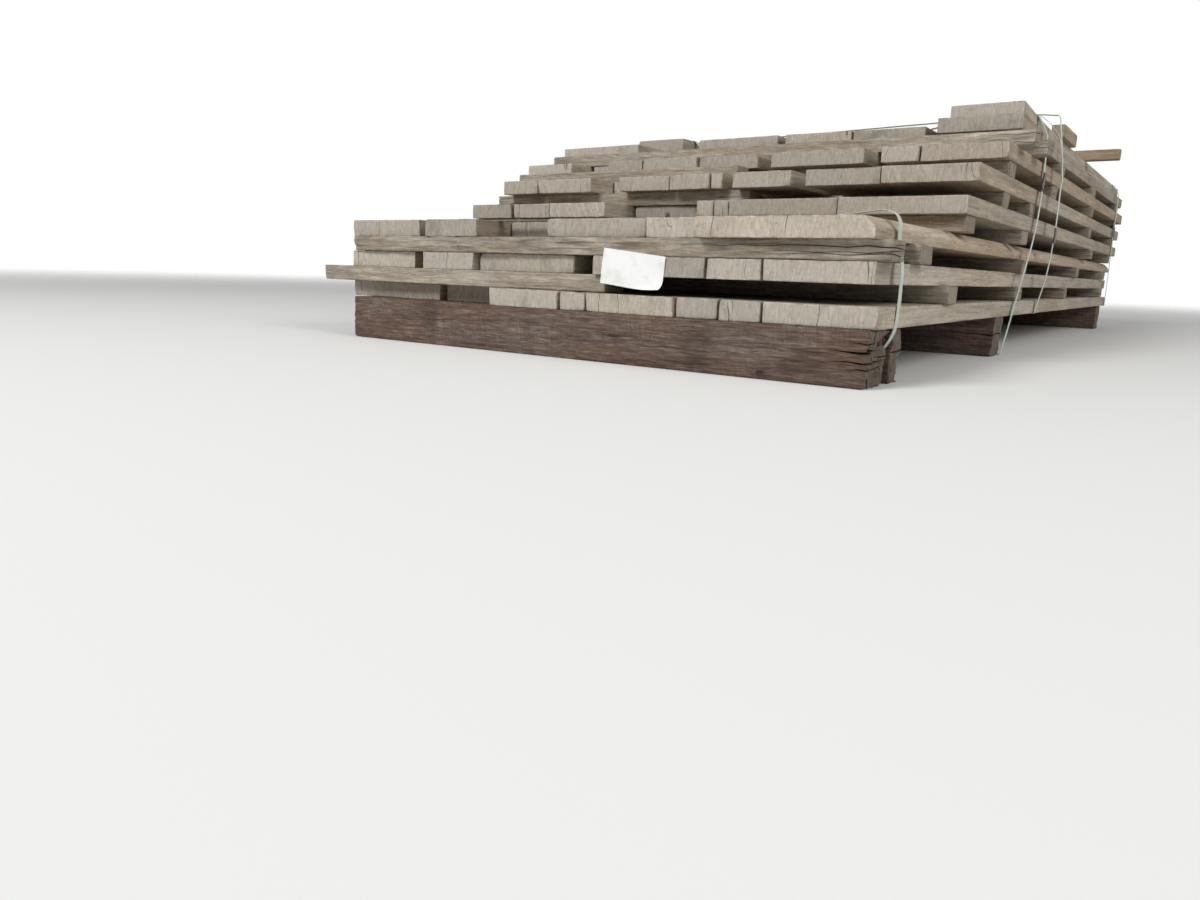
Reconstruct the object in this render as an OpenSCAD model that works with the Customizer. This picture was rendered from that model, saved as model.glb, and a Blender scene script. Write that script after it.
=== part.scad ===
// A strapped pack of sawn boards, laid in courses with stickers between them, on three bearers.
// X runs across the pack, Y along the boards with the camera end at low Y, Z is up.
// The origin is the middle of the underside of the second bearer from the front.

// Which node to build, or all of them

/* [Pack] */
// Width of the pack across the boards
pack_w = 1555; // [700:1:2400]
// Length of the pack from the front of the lowest course to the furthest board end
pack_l = 3650; // [1800:1:6200]
// Width of the seam left between two boards that lie side by side
seam_w = 4; // [2:0.5:12]

/* [Boards] */
// Thickness of a board
board_t = 41; // [18:0.5:80]

/* [Stickers] */
// Height of a sticker between two courses
sticker_t = 38; // [12:0.5:80]
// Width of a sticker along the pack
sticker_w = 78; // [25:1:140]
// Depth of the waves worn into the second front sticker
wave_d = 5; // [1:0.5:14]
// How far the loose batten stands out past the right side
batten_out = 85; // [10:1:300]
// Length of the loose batten
batten_l = 380; // [200:1:1200]
// Width of the loose batten
batten_w = 46; // [20:1:120]

/* [Bearers] */
// Height of a bearer
bearer_h = 106; // [60:1:180]
// Width of the front timber of the front bearer along the pack
timber_front_w = 104; // [40:1:200]
// Width of the slot between the two timbers of the front bearer, where a strap goes through
timber_gap = 27; // [22:0.5:60]
// Width of the rear timber of the front bearer along the pack
timber_rear_w = 54; // [30:1:160]
// Width of each of the other two bearers along the pack
bearer_rear_w = 110; // [60:1:260]
// Length of the split at the right end of the front bearer
split_l = 130; // [10:1:400]
// Height of that split where it opens at the end
split_h = 9; // [2:0.5:30]

/* [Straps] */
// Width of a strap
strap_w = 19; // [9:0.5:40]
// Thickness of a strap
strap_t = 1.2; // [0.6:0.1:2.5]
// Room left between a strap and what it goes round
strap_clear = 0.3; // [0.1:0.05:0.8]
// Depth of the groove under the second bearer, where a strap goes round it
groove_d = 2.4; // [1.8:0.1:6]
// Extra width of that groove beside the strap, on each side
groove_side = 3; // [1:0.5:10]
// How far the third strap stands up, slack, off the right board on top
slack_rise = 40; // [5:1:120]
// How far the third strap stands off the right side, slack, halfway up
slack_out = 29; // [5:1:80]
// Length of a seal along its strap
seal_l = 46; // [15:1:80]
// Thickness of a seal
seal_t = 3; // [0.8:0.1:6]
// How much wider a seal is than its strap, on each side
seal_side = 5; // [0.5:0.5:10]

/* [Label] */
// Width of the paper label
label_w = 155; // [60:1:260]
// Height of the paper label
label_h = 74; // [30:1:140]
// Thickness of the paper label
label_t = 0.6; // [0.3:0.1:1.5]
// Turn of the label on the board ends, in degrees
label_turn = 6; // [0:0.5:15]

/* [Hidden] */
// Places along the pack are shares of its length, places across it are shares of its width
// Front edges of the three bearers
bearer_shares = [0, 0.271, 0.863];
// The left side, the right side and the front of the pack in this frame
left_x = -pack_w / 2;
right_x = pack_w / 2;
front_y = -bearer_shares[1] * pack_l - bearer_rear_w / 2;
// Rise from one course to the next
step = board_t + sticker_t;
// Height of the underside of each course and of the boards on top
z_1 = bearer_h;
z_2 = z_1 + step;
z_3 = z_2 + step;
z_4 = z_3 + step;
z_5 = z_4 + step;
z_6 = z_5 + step;
z_7 = z_6 + step;
z_top = z_7 + board_t;

// Boards of each course: left edge, right edge, front end, rear end
course_1_shares = [[0.0484, 0.2687, 0.0164, 0.928], [0.2697, 0.4093, 0.0215, 0.921],
  [0.4093, 0.5422, 0, 0.93], [0.5422, 0.5885, 0.0014, 0.925], [0.5885, 0.7331, 0.0008, 0.933],
  [0.7331, 0.7962, 0.0022, 0.926], [0.7962, 0.8559, 0.0016, 0.931], [0.8559, 1, 0.0019, 0.932]];
course_2_shares = [[0.0655, 0.2233, 0.011, 0.938], [0.2496, 0.3625, 0.0068, 0.944],
  [0.3625, 0.5506, 0.012, 0.941], [0.5942, 0.6913, 0.0041, 0.946],
  [0.6913, 0.7711, 0.0041, 0.939], [0.7711, 0.8489, 0.0049, 0.947],
  [0.8489, 0.9897, 0.0055, 0.948]];
course_3_shares = [[0.0655, 0.2321, 0.0123, 0.956], [0.2519, 0.368, 0.0082, 0.96],
  [0.368, 0.4977, 0.0411, 0.953], [0.4977, 0.6707, 0.011, 0.964], [0.6707, 0.7553, 0.0096, 0.959],
  [0.7553, 0.9904, 0.0005, 0.966]];
course_4_shares = [[0.0354, 0.1421, 0.1507, 0.97], [0.1447, 0.2379, 0.1512, 0.966],
  [0.2379, 0.3691, 0.1501, 0.973], [0.3691, 0.5543, 0.1918, 0.968],
  [0.5543, 0.5897, 0.1534, 0.962], [0.5897, 0.6193, 0.1521, 0.975],
  [0.6193, 0.8071, 0.1499, 0.971], [0.8071, 1, 0.1493, 0.973]];
course_5_shares = [[0.065, 0.1588, 0.1767, 0.978], [0.1588, 0.2907, 0.1762, 0.983],
  [0.2907, 0.3524, 0.2082, 0.98], [0.3524, 0.4637, 0.1781, 0.985], [0.4637, 0.5466, 0.1767, 0.979],
  [0.5466, 0.5711, 0.179, 0.982], [0.591, 0.7003, 0.1767, 0.986], [0.7228, 0.8489, 0.1781, 0.981],
  [0.8489, 0.9981, 0.1753, 0.984]];
course_6_shares = [[0, 0.1273, 0.2411, 0.99], [0.1318, 0.2154, 0.2712, 0.986],
  [0.2193, 0.308, 0.2418, 0.993], [0.308, 0.4354, 0.2405, 0.988], [0.4354, 0.5646, 0.2425, 0.994],
  [0.5884, 0.7678, 0.2411, 0.991], [0.7929, 0.8592, 0.2425, 0.987], [0.8592, 1, 0.2438, 0.993]];
course_7_shares = [[0.0026, 0.2122, 0.2959, 0.996], [0.2186, 0.3569, 0.3425, 0.99],
  [0.3621, 0.5441, 0.2953, 1], [0.5569, 0.6932, 0.2959, 0.994], [0.6932, 0.8289, 0.2973, 0.998],
  [0.8469, 0.9923, 0.2973, 0.997]];
// The two boards on top and the short narrow one on the right of them, laid out the same way
top_left_share = [0.1299, 0.254, 0.3477, 0.962];
top_right_share = [0.857, 0.983, 0.3132, 0.971];
top_narrow_share = [0.9643, 0.9936, 0.4723, 0.545];

// Stickers of each row: front edge, left end, right end
stickers_1_shares = [[0.0068, 0, 0.6141], [0.118, 0.543, 1.0064], [0.337, 0.0765, 0.9977],
  [0.578, 0.0765, 0.9977], [0.871, 0.0765, 0.9977]];
stickers_2_shares = [[0.0597, 0.0765, 1.0026], [0.342, 0.0765, 0.9977],
  [0.641, 0.0765, 0.9977], [0.877, 0.0765, 0.9977]];
stickers_3_shares = [[0.1585, -0.0288, 0.9958], [0.331, 0.0386, 0.9977],
  [0.712, 0.0386, 1.0032], [0.904, 0.0386, 0.9977]];
stickers_4_shares = [[0.189, 0.0238, 0.6141], [0.2507, 0.627, 0.9971], [0.347, 0.0386, 0.9977],
  [0.679, 0.0386, 1.0026], [0.91, 0.0386, 0.9977]];
stickers_5_shares = [[0.2192, 0.0212, 0.5498], [0.259, 0.5627, 0.9965], [0.438, 0.0386, 0.9977],
  [0.671, 0.0386, 1.0039], [0.912, 0.0386, 0.9977]];
stickers_6_shares = [[0.2699, 0.0187, 1.0249], [0.322, 0.6, 1.026], [0.466, 0.0386, 0.9977],
  [0.685, 0.0386, 0.9977], [0.915, 0.0386, 0.9977]];
// The worn sticker at the front of the second row, laid out the same way
worn_sticker_share = [0.0068, 0.0765, 1.006];
// How far the front bearer stops short of the left side
bearer_in_share = 0.0945;
// Heights of the wave points along the second front sticker
wave_shares = [0.2, 0.9, 0.1, 0.75, 0.3, 1, 0.15, 0.6];

// How far back on the second bearer its strap lies, as a share of the bearer's width
strap_on_bearer_share = 0.73;
// Front edges of the other straps at the bottom, and how far the second and the rear one lean
// back as they rise
strap_low_shares = [0.4126, 0.922];
strap_lean_shares = [0.0762, -0.018];
// Front edges of the lower runs of the two straps at the front and second bearers
front_strap_y = front_y + timber_front_w + (timber_gap - strap_w) / 2;
second_strap_y = front_y + bearer_shares[1] * pack_l + strap_on_bearer_share * bearer_rear_w;
// Left ends of the front bearer and of the lowest course, where the other bearers end too
bearer_x = left_x + bearer_in_share * pack_w;
low_x = left_x + course_1_shares[0][0] * pack_w;
// Heights of a strap on the seventh course and on the boards that lie on it
z_low = z_top + strap_clear;
z_over = z_low + board_t;
// Sides of the left and the right board on top
top_left_x = [left_x + top_left_share[0] * pack_w, left_x + top_left_share[1] * pack_w];
top_right_x = [left_x + top_right_share[0] * pack_w, left_x + top_right_share[1] * pack_w];
// Points where a strap turns, from left to right, each with the side to which it is thick
over_the_top = [[left_x - strap_clear, z_top, -1, 1], [top_left_x[0], z_over, -1, 1],
  [top_right_x[1], z_over, 1, 1]];
// The second strap comes down on the seventh course between the two boards, on two slopes
slope_shares = [1, 6];
over_and_between = [over_the_top[0], over_the_top[1], [top_left_x[1], z_over, 0.4, 1],
  [top_left_x[1] + slope_shares[0] * board_t, z_low, 0.4, 1],
  [top_right_x[0] - slope_shares[1] * board_t, z_low, -0.4, 1],
  [top_right_x[0], z_over, -0.4, 1], over_the_top[2], [right_x + strap_clear, z_top, 1, 0.5]];
// The third strap hangs slack: shares of its rise along the top, and of how far it stands out
slack_rise_shares = [0.4, 1, 0.8];
slack_out_shares = [0.95, 1, 0.75];
slack_turn_share = 0.05;
slack_low_z = bearer_h - strap_clear - strap_t;
slack_places = [[low_x - strap_clear, slack_low_z, -1, 0], [left_x - strap_clear, z_6, -1, 0],
  [left_x - strap_clear, z_top, -1, 1], [top_left_x[0], z_over, -1, 1],
  [top_left_x[1], z_over + slack_rise * slack_rise_shares[0], 0, 1],
  [right_x - slack_turn_share * pack_w, z_over + slack_rise * slack_rise_shares[1], 0, 1],
  [right_x + strap_clear, z_over + slack_rise * slack_rise_shares[2], 1, 1],
  [right_x + slack_out * slack_out_shares[0], z_6 + board_t, 1, 0],
  [right_x + slack_out * slack_out_shares[1], z_4, 1, 0],
  [right_x + slack_out * slack_out_shares[2], z_2 + board_t, 1, 0],
  [right_x + strap_clear, slack_low_z, 1, 0]];
// Places of the seals up the straps, and of the loose batten and the label
seal_rise_shares = [0.97, 0.66];
batten_share = 0.6436;
label_x_share = 0.6611;
label_rise_share = 0.34;

// A board between two shares of the width, its ends at two shares of the length
module board(places, z) {
  translate([left_x + places[0] * pack_w + seam_w / 2, front_y + places[2] * pack_l, z])
    cube([(places[1] - places[0]) * pack_w - seam_w, (places[3] - places[2]) * pack_l, board_t]);
}

// All the boards of one course
module course(rows, z) {
  for (places = rows)
    board(places, z);
}

// One row of stickers, each at a share of the length and between two shares of the width
module sticker_row(rows, z) {
  for (places = rows)
    translate([left_x + places[1] * pack_w, front_y + places[0] * pack_l, z])
      cube([(places[2] - places[1]) * pack_w, sticker_w, sticker_t]);
}

// A bearer timber from its left end at x, that starts at a place along the pack
module bearer(x, y, depth) {
  translate([x, y, 0])
    cube([right_x - x, depth, bearer_h]);
}

// The groove under a bearer for the strap whose lower run starts at low_y
module strap_groove(low_y) {
  translate([low_x - sticker_w, low_y - groove_side, -groove_d])
    cube([right_x - low_x + 2 * sticker_w, strap_w + 2 * groove_side, 2 * groove_d]);
}

// A short stretch of strap where it turns a corner
module strap_corner(x, y, z) {
  translate([x, y, z])
    cube([strap_t, strap_w, strap_t]);
}

// A strap's run through a row of points, each thickened to its own side
module strap_run(y, places) {
  outer = [for (p = places) [p[0] + p[2] * strap_t, p[1] + p[3] * strap_t]];
  last = len(places) - 1;
  translate([0, y + strap_w, 0])
    rotate([90, 0, 0])
      linear_extrude(strap_w)
        polygon(concat(outer, [for (i = [0 : last]) [places[last - i][0], places[last - i][1]]]));
}

// The straight run of a strap under the boards, from low_z downward
module strap_low_run(low_y, low_z) {
  translate([low_x - strap_clear - strap_t, low_y, low_z - strap_t])
    cube([right_x - low_x + 2 * (strap_clear + strap_t), strap_w, strap_t]);
}

// A strap: a low run, two sides that may lean, and an arch from the feet over the top points
module strap(low_y, lean, low_z, left_foot, top_points, right_foot) {
  top_y = low_y + lean * pack_l;
  in_right = right_x + strap_clear;
  strap_low_run(low_y, low_z);
  hull() {
    strap_corner(low_x - strap_clear - strap_t, low_y, low_z - strap_t);
    strap_corner(left_foot[0] - strap_clear - strap_t, top_y, left_foot[1]);
  }
  hull() {
    strap_corner(in_right, low_y, low_z - strap_t);
    strap_corner(in_right, top_y, right_foot);
  }
  strap_run(top_y, concat([[left_foot[0] - strap_clear, left_foot[1], -1, 0]], top_points,
    [[in_right, right_foot, 1, 0]]));
}

// A seal folded over the right side of a strap that stands off the side by out, turned with
// the strap's lean
module seal(low_y, lean, low_z, foot_z, rise, out) {
  run_z = foot_z - low_z;
  run_y = lean * pack_l;
  translate([right_x + out + strap_t, low_y + strap_w / 2 + rise * run_y, low_z + rise * run_z])
    rotate([-atan(run_y / run_z), 0, 0])
      translate([0, -strap_w / 2 - seal_side, -seal_l / 2])
        cube([seal_t, strap_w + 2 * seal_side, seal_l]);
}

// The front bearer: two timbers with a slot for the front strap, the front one split at its end
module bearer_front() {
  color([0.42, 0.34, 0.3]) {
    difference() {
      bearer(bearer_x, front_y, timber_front_w);
      translate([right_x, front_y + timber_front_w + seam_w, bearer_h * 0.62])
        rotate([90, 0, 0])
          linear_extrude(timber_front_w + 2 * seam_w)
            polygon([[-split_l, 0], [split_h, -split_h], [split_h, split_h * 0.6]]);
    }
    bearer(bearer_x, front_y + timber_front_w + timber_gap, timber_rear_w);
  }
}

// The other two bearers, the nearer one grooved for the second strap
module bearers_rear() {
  color([0.4, 0.33, 0.28]) {
    difference() {
      bearer(low_x, front_y + bearer_shares[1] * pack_l, bearer_rear_w);
      strap_groove(second_strap_y);
    }
    bearer(low_x, front_y + bearer_shares[2] * pack_l, bearer_rear_w);
  }
}

// The lowest course, on the bearers
module course_1() {
  color([0.62, 0.57, 0.5])
    course(course_1_shares, z_1);
}

// The lowest sticker row: its front sticker is in two pieces, one set back from the other
module stickers_1() {
  color([0.52, 0.47, 0.4])
    sticker_row(stickers_1_shares, z_1 + board_t);
}

// The second course
module course_2() {
  color([0.6, 0.55, 0.48])
    course(course_2_shares, z_2);
}

// The second sticker row: the front sticker's face is worn into waves
module stickers_2() {
  first_x = left_x + worn_sticker_share[1] * pack_w;
  run_x = pack_w * (worn_sticker_share[2] - worn_sticker_share[1]);
  last = len(wave_shares) - 1;
  color([0.5, 0.46, 0.4]) {
    translate([0, front_y + worn_sticker_share[0] * pack_l, z_2 + board_t])
      linear_extrude(sticker_t)
        polygon(concat(
          [for (i = [0 : last]) [first_x + run_x * i / last, wave_d * wave_shares[i]]],
          [[first_x + run_x, sticker_w], [first_x, sticker_w]]));
    sticker_row(stickers_2_shares, z_2 + board_t);
  }
}

// The third course, the last one that comes right to the front
module course_3() {
  color([0.63, 0.58, 0.5])
    course(course_3_shares, z_3);
}

// The third sticker row
module stickers_3() {
  color([0.52, 0.47, 0.4])
    sticker_row(stickers_3_shares, z_3 + board_t);
}

// The fourth course, set back from the three below
module course_4() {
  color([0.6, 0.56, 0.49])
    course(course_4_shares, z_4);
}

// The fourth sticker row
module stickers_4() {
  color([0.5, 0.46, 0.39])
    sticker_row(stickers_4_shares, z_4 + board_t);
}

// The fifth course
module course_5() {
  color([0.64, 0.59, 0.51])
    course(course_5_shares, z_5);
}

// The fifth sticker row
module stickers_5() {
  color([0.52, 0.47, 0.4])
    sticker_row(stickers_5_shares, z_5 + board_t);
}

// The sixth course
module course_6() {
  color([0.61, 0.56, 0.49])
    course(course_6_shares, z_6);
}

// The sixth sticker row
module stickers_6() {
  color([0.5, 0.46, 0.39])
    sticker_row(stickers_6_shares, z_6 + board_t);
}

// The seventh course, the last full one
module course_7() {
  color([0.64, 0.59, 0.52])
    course(course_7_shares, z_7);
}

// Two single boards that lie straight on the seventh course
module top_boards() {
  color([0.66, 0.61, 0.53]) {
    board(top_left_share, z_top);
    board(top_right_share, z_top);
  }
}

// A narrow board that lies on the right one of these two
module top_narrow() {
  color([0.6, 0.53, 0.43])
    board(top_narrow_share, z_top + board_t);
}

// A loose batten on the right top board that stands out past the side of the pack
module loose_batten() {
  color([0.58, 0.5, 0.4])
    translate([right_x + batten_out - batten_l, front_y + batten_share * pack_l, z_top + board_t])
      cube([batten_l, batten_w, sticker_t]);
}

// The strap through the slot of the front bearer and round the three lowest courses
module strap_front() {
  color([0.8, 0.85, 0.8])
    strap(front_strap_y, 0, bearer_h - strap_clear, [low_x, z_2],
      [[low_x, z_3 + board_t + strap_clear, -1, 1],
        [left_x + course_3_shares[5][1] * pack_w, z_3 + board_t + strap_clear, 1, 1]],
      z_1 + board_t);
}

// The strap round the second bearer and the whole pack, which leans up to the sixth course
module strap_second() {
  color([0.8, 0.85, 0.8])
    strap(second_strap_y, strap_lean_shares[0], groove_d - strap_clear, [left_x, z_6],
      over_and_between, z_6);
}

// The strap behind it, which runs under the lowest course and slack over the whole pack
module strap_third() {
  third_y = front_y + strap_low_shares[0] * pack_l;
  color([0.8, 0.85, 0.8]) {
    strap_low_run(third_y, bearer_h - strap_clear);
    strap_run(third_y, slack_places);
  }
}

// The strap near the rear end, also under the lowest course
module strap_rear() {
  color([0.8, 0.85, 0.8])
    strap(front_y + strap_low_shares[1] * pack_l, strap_lean_shares[1], bearer_h - strap_clear,
      [left_x, z_6], over_the_top, z_top);
}

// The folded metal seals of the straps behind the front one
module strap_seals() {
  color([0.25, 0.25, 0.26]) {
    seal(second_strap_y, strap_lean_shares[0], groove_d - strap_clear, z_6, seal_rise_shares[0],
      strap_clear);
    seal(front_y + strap_low_shares[0] * pack_l, 0, z_4, z_5, 0, slack_out * slack_out_shares[1]);
    seal(front_y + strap_low_shares[1] * pack_l, strap_lean_shares[1], bearer_h, z_top,
      seal_rise_shares[1], strap_clear);
  }
}

// The bare paper label, flat on the board ends of the second course
module label() {
  color([0.93, 0.93, 0.92])
    translate([left_x + label_x_share * pack_w, front_y + course_2_shares[3][2] * pack_l, z_2])
      rotate([0, label_turn, 0])
        translate([-label_w / 2, -label_t, -label_h * label_rise_share])
          cube([label_w, label_t, label_h]);
}

bearer_front();
bearers_rear();
course_1();
stickers_1();
course_2();
stickers_2();
course_3();
stickers_3();
course_4();
stickers_4();
course_5();
stickers_5();
course_6();
stickers_6();
course_7();
top_boards();
top_narrow();
loose_batten();
strap_front();
strap_second();
strap_third();
strap_rear();
strap_seals();
label();
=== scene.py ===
import math
from collections import namedtuple

import bpy
import numpy as np
from mathutils import Matrix, Vector


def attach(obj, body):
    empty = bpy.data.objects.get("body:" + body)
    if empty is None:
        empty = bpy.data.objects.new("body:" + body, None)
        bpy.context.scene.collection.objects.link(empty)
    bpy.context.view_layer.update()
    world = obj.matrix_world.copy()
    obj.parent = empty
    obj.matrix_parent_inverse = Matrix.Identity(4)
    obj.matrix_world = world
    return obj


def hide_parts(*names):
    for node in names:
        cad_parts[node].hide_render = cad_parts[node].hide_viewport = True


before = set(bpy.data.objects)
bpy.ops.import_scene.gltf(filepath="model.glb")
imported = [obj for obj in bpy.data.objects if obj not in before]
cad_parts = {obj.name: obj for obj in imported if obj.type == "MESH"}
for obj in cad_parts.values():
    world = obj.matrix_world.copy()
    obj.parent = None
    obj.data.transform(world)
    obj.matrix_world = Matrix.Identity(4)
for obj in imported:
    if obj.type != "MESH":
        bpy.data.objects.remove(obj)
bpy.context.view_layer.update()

# Sizes of the pack in metres, as the part's source has them
PACK_W, PACK_L = 1.555, 3.65
LEFT, RIGHT, FRONT = -PACK_W / 2, PACK_W / 2, -1.04415
LOW_LEFT = LEFT + 0.0484 * PACK_W
BEARER_H, BOARD_T, STEP = 0.106, 0.041, 0.079
COURSE_Z = [BEARER_H + STEP * i for i in range(7)]
TOP_Z = COURSE_Z[6] + BOARD_T
STRAP_W, STRAP_T, STRAP_CLEAR = 0.019, 0.0012, 0.0003

# The photograph's viewpoint. The columns of the turn point right, up and back.
CAMERA_PLACE = Vector((1.27533, -2.57342, 0.19489))
CAMERA_TURN = Matrix(
    ((0.81245, -0.14394, 0.56498), (0.58212, 0.14636, -0.79982), (0.03244, 0.9787, 0.20271))
)
IMAGE_W, FOCAL_PIXELS, SENSOR_W = 1200, 869.0, 36

# Colours as 0 to 255 on a screen. The four of a long face are wood, warmer wood, greyed wood and
# stain, and the three of a cut end are wood, greyed wood and stain.
BOARD_COLOURS = ((176, 156, 131), (176, 153, 127), (178, 168, 153), (104, 92, 80))
BOARD_END_COLOURS = ((184, 166, 145), (188, 180, 168), (106, 98, 90))
STICK_COLOURS = ((168, 150, 128), (170, 146, 120), (174, 165, 151), (84, 75, 66))
STICK_END_COLOURS = ((146, 126, 102), (154, 145, 130), (88, 78, 68))
BEARER_COLOURS = ((114, 88, 74), (124, 90, 70), (118, 106, 98), (46, 37, 33))
BEARER_END_COLOURS = ((104, 88, 74), (120, 112, 101), (52, 44, 38))
BATTEN_COLOURS = ((156, 130, 104), (162, 134, 106), (160, 148, 130), (92, 76, 62))
KNOT_COLOUR, SPLIT_COLOUR, CHECK_COLOUR = (58, 44, 36), (44, 36, 31), (45, 38, 32)
STRAP_COLOUR, DUST_COLOUR = (192, 203, 192), (164, 172, 158)
STEEL_COLOUR, RUST_COLOUR = (58, 59, 61), (96, 62, 42)
PAPER_COLOUR, DAMP_COLOUR = (236, 237, 236), (221, 220, 212)
FLOOR_COLOUR = (228, 228, 226)


# Node helpers


def tint(colour):
    """A screen colour in the linear values that shaders take."""
    return (*(((c / 255 + 0.055) / 1.055) ** 2.4 for c in colour), 1.0)


def feed(tree, node, feeds):
    """Feeds a node's inputs from sockets or plain values."""
    for key, value in feeds.items():
        if isinstance(value, bpy.types.NodeSocket):
            tree.links.new(value, node.inputs[key])
        else:
            node.inputs[key].default_value = value


def put(tree, kind, feeds=None, **settings):
    """Adds a node with its settings and feeds its inputs."""
    node = tree.nodes.new("ShaderNode" + kind)
    for key, value in settings.items():
        setattr(node, key, value)
    feed(tree, node, feeds or {})
    return node


def placed(tree, group, feeds):
    """Places a group in a material and returns its outputs."""
    node = tree.nodes.new("ShaderNodeGroup")
    node.node_tree = group
    feed(tree, node, feeds)
    return node.outputs


def maths(tree, operation, *values, clamp=False):
    feeds = dict(enumerate(values))
    return put(tree, "Math", feeds, operation=operation, use_clamp=clamp).outputs[0]


def times(tree, first, second):
    return maths(tree, "MULTIPLY", first, second)


def off_middle(tree, value):
    """How far a value is from one half, to either side."""
    return maths(tree, "ABSOLUTE", maths(tree, "SUBTRACT", value, 0.5))


def vectors(tree, operation, first, second):
    return put(tree, "VectorMath", {0: first, 1: second}, operation=operation).outputs[0]


def scaled(tree, vector, factors):
    return vectors(tree, "MULTIPLY", vector, factors)


def length_of(tree, vector):
    return put(tree, "VectorMath", {0: vector}, operation="LENGTH").outputs["Value"]


def split_up(tree, vector):
    return put(tree, "SeparateXYZ", {0: vector}).outputs


def noise(tree, vector, scale, detail=3.0, rough=0.5):
    """Noise at one scale, or at a scale for each of the three directions."""
    if isinstance(scale, tuple):
        vector, scale = scaled(tree, vector, scale), 1.0
    feeds = {"Vector": vector, "Scale": scale, "Detail": detail, "Roughness": rough}
    return put(tree, "TexNoise", feeds).outputs[0]


def step_up(tree, value, low, high, to_low=0.0, to_high=1.0):
    """A smooth rise from to_low to to_high while value goes from low to high."""
    feeds = {"Value": value, "From Min": low, "From Max": high, "To Min": to_low, "To Max": to_high}
    return put(tree, "MapRange", feeds, interpolation_type="SMOOTHSTEP").outputs[0]


def blend(tree, factor, first, second, way="MIX"):
    feeds = {0: factor, 6: first, 7: second}
    return put(tree, "Mix", feeds, data_type="RGBA", blend_type=way).outputs[2]


def shade(tree, colour, *steps):
    """Multiplies a colour, in each step by low to high as the step's value goes from 0 to 1."""
    for value, low, high in steps:
        feeds = {"Value": value, "To Min": low, "To Max": high}
        factor = put(tree, "MapRange", feeds, clamp=False).outputs[0]
        grey = put(tree, "CombineXYZ", {0: factor, 1: factor, 2: factor}).outputs[0]
        colour = blend(tree, 1.0, colour, grey, "MULTIPLY")
    return colour


def attribute(tree, name, output="Vector"):
    return put(tree, "Attribute", attribute_name=name).outputs[output]


def new_group(name, inputs, outputs):
    """A node group from its inputs' names and start values, and its outputs' names.

    An input that starts at None is a vector, one that starts at a tuple a colour. The output
    Color is a colour, all others are values. Returns the tree, its inputs and its end node.
    """
    tree = bpy.data.node_groups.new(name, "ShaderNodeTree")
    for label, start in inputs.items():
        kind = "Vector" if start is None else "Color" if isinstance(start, tuple) else "Float"
        kind = "NodeSocket" + kind
        made = tree.interface.new_socket(name=label, in_out="INPUT", socket_type=kind)
        if start is not None:
            made.default_value = start
    for label in outputs:
        kind = "Color" if label == "Color" else "Float"
        tree.interface.new_socket(name=label, in_out="OUTPUT", socket_type="NodeSocket" + kind)
    return tree, tree.nodes.new("NodeGroupInput").outputs, tree.nodes.new("NodeGroupOutput")


# Shared effects


def make_grain():
    """Long streaks, fine fibres and broad patches of sawn timber, drawn out along the grain."""
    tree, given, result = new_group(
        "long_grain",
        {"Vector": None, "Streak Width": 0.03, "Fibre Width": 0.005},
        ("Streaks", "Fibres", "Patches", "Splits", "Pale Rubs", "Torn"),
    )
    place = given["Vector"]
    slow = scaled(tree, place, (0.9, 4.0, 4.0))
    sway = put(tree, "TexNoise", {"Vector": slow, "Scale": 1.0, "Detail": 2.0}).outputs[1]
    sway = scaled(tree, vectors(tree, "SUBTRACT", sway, (0.5, 0.5, 0.5)), (0.0, 0.03, 0.03))
    bent = vectors(tree, "ADD", place, sway)
    streak_scale = maths(tree, "DIVIDE", 1.0, given["Streak Width"])
    fibre_scale = maths(tree, "DIVIDE", 1.0, given["Fibre Width"])
    streaks = noise(tree, scaled(tree, bent, (0.045, 1.0, 1.0)), streak_scale, 6.0, 0.66)
    fibres = noise(tree, scaled(tree, bent, (0.03, 1.0, 1.0)), fibre_scale, 4.0, 0.65)
    patches = noise(tree, place, (2.8, 8.0, 8.0), 4.0, 0.6)
    lines = noise(tree, bent, (1.12, 70.0, 70.0), 2.0)
    thin = step_up(tree, off_middle(tree, lines), 0.003, 0.014, 1.0, 0.0)
    opened = noise(tree, bent, (3.24, 36.0, 36.0), 2.0)
    rubs = noise(tree, place, (10.5, 210.0, 210.0), 3.0, 0.65)
    torn = noise(tree, place, (25.3, 230.0, 230.0), 4.0, 0.72)
    results = {
        "Streaks": step_up(tree, streaks, 0.32, 0.68),
        "Fibres": step_up(tree, fibres, 0.3, 0.7),
        "Patches": step_up(tree, patches, 0.33, 0.67),
        "Splits": times(tree, thin, step_up(tree, opened, 0.52, 0.64)),
        "Pale Rubs": times(tree, step_up(tree, rubs, 0.56, 0.7), patches),
        "Torn": step_up(tree, torn, 0.32, 0.66),
    }
    feed(tree, result, results)
    return tree


def make_saw_marks():
    """Lines that a saw blade leaves across the grain, stronger in some stretches."""
    tree, given, result = new_group(
        "saw_marks", {"Vector": None, "Spacing": 0.006, "Slant": 0.15}, ("Marks", "Where")
    )
    place = given["Vector"]
    parts = split_up(tree, place)
    across = maths(tree, "ADD", parts[1], parts[2])
    along = maths(tree, "MULTIPLY_ADD", across, given["Slant"], parts[0])
    along = maths(tree, "DIVIDE", along, given["Spacing"])
    line = put(tree, "CombineXYZ", {0: along, 1: times(tree, across, 9.0)}).outputs[0]
    marks = noise(tree, line, 1.0, 2.0, 0.55)
    where = noise(tree, place, (5.0, 12.5, 12.5), 2.0)
    marks, where = step_up(tree, marks, 0.35, 0.66), step_up(tree, where, 0.42, 0.62)
    feed(tree, result, {"Marks": marks, "Where": where})
    return tree


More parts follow.
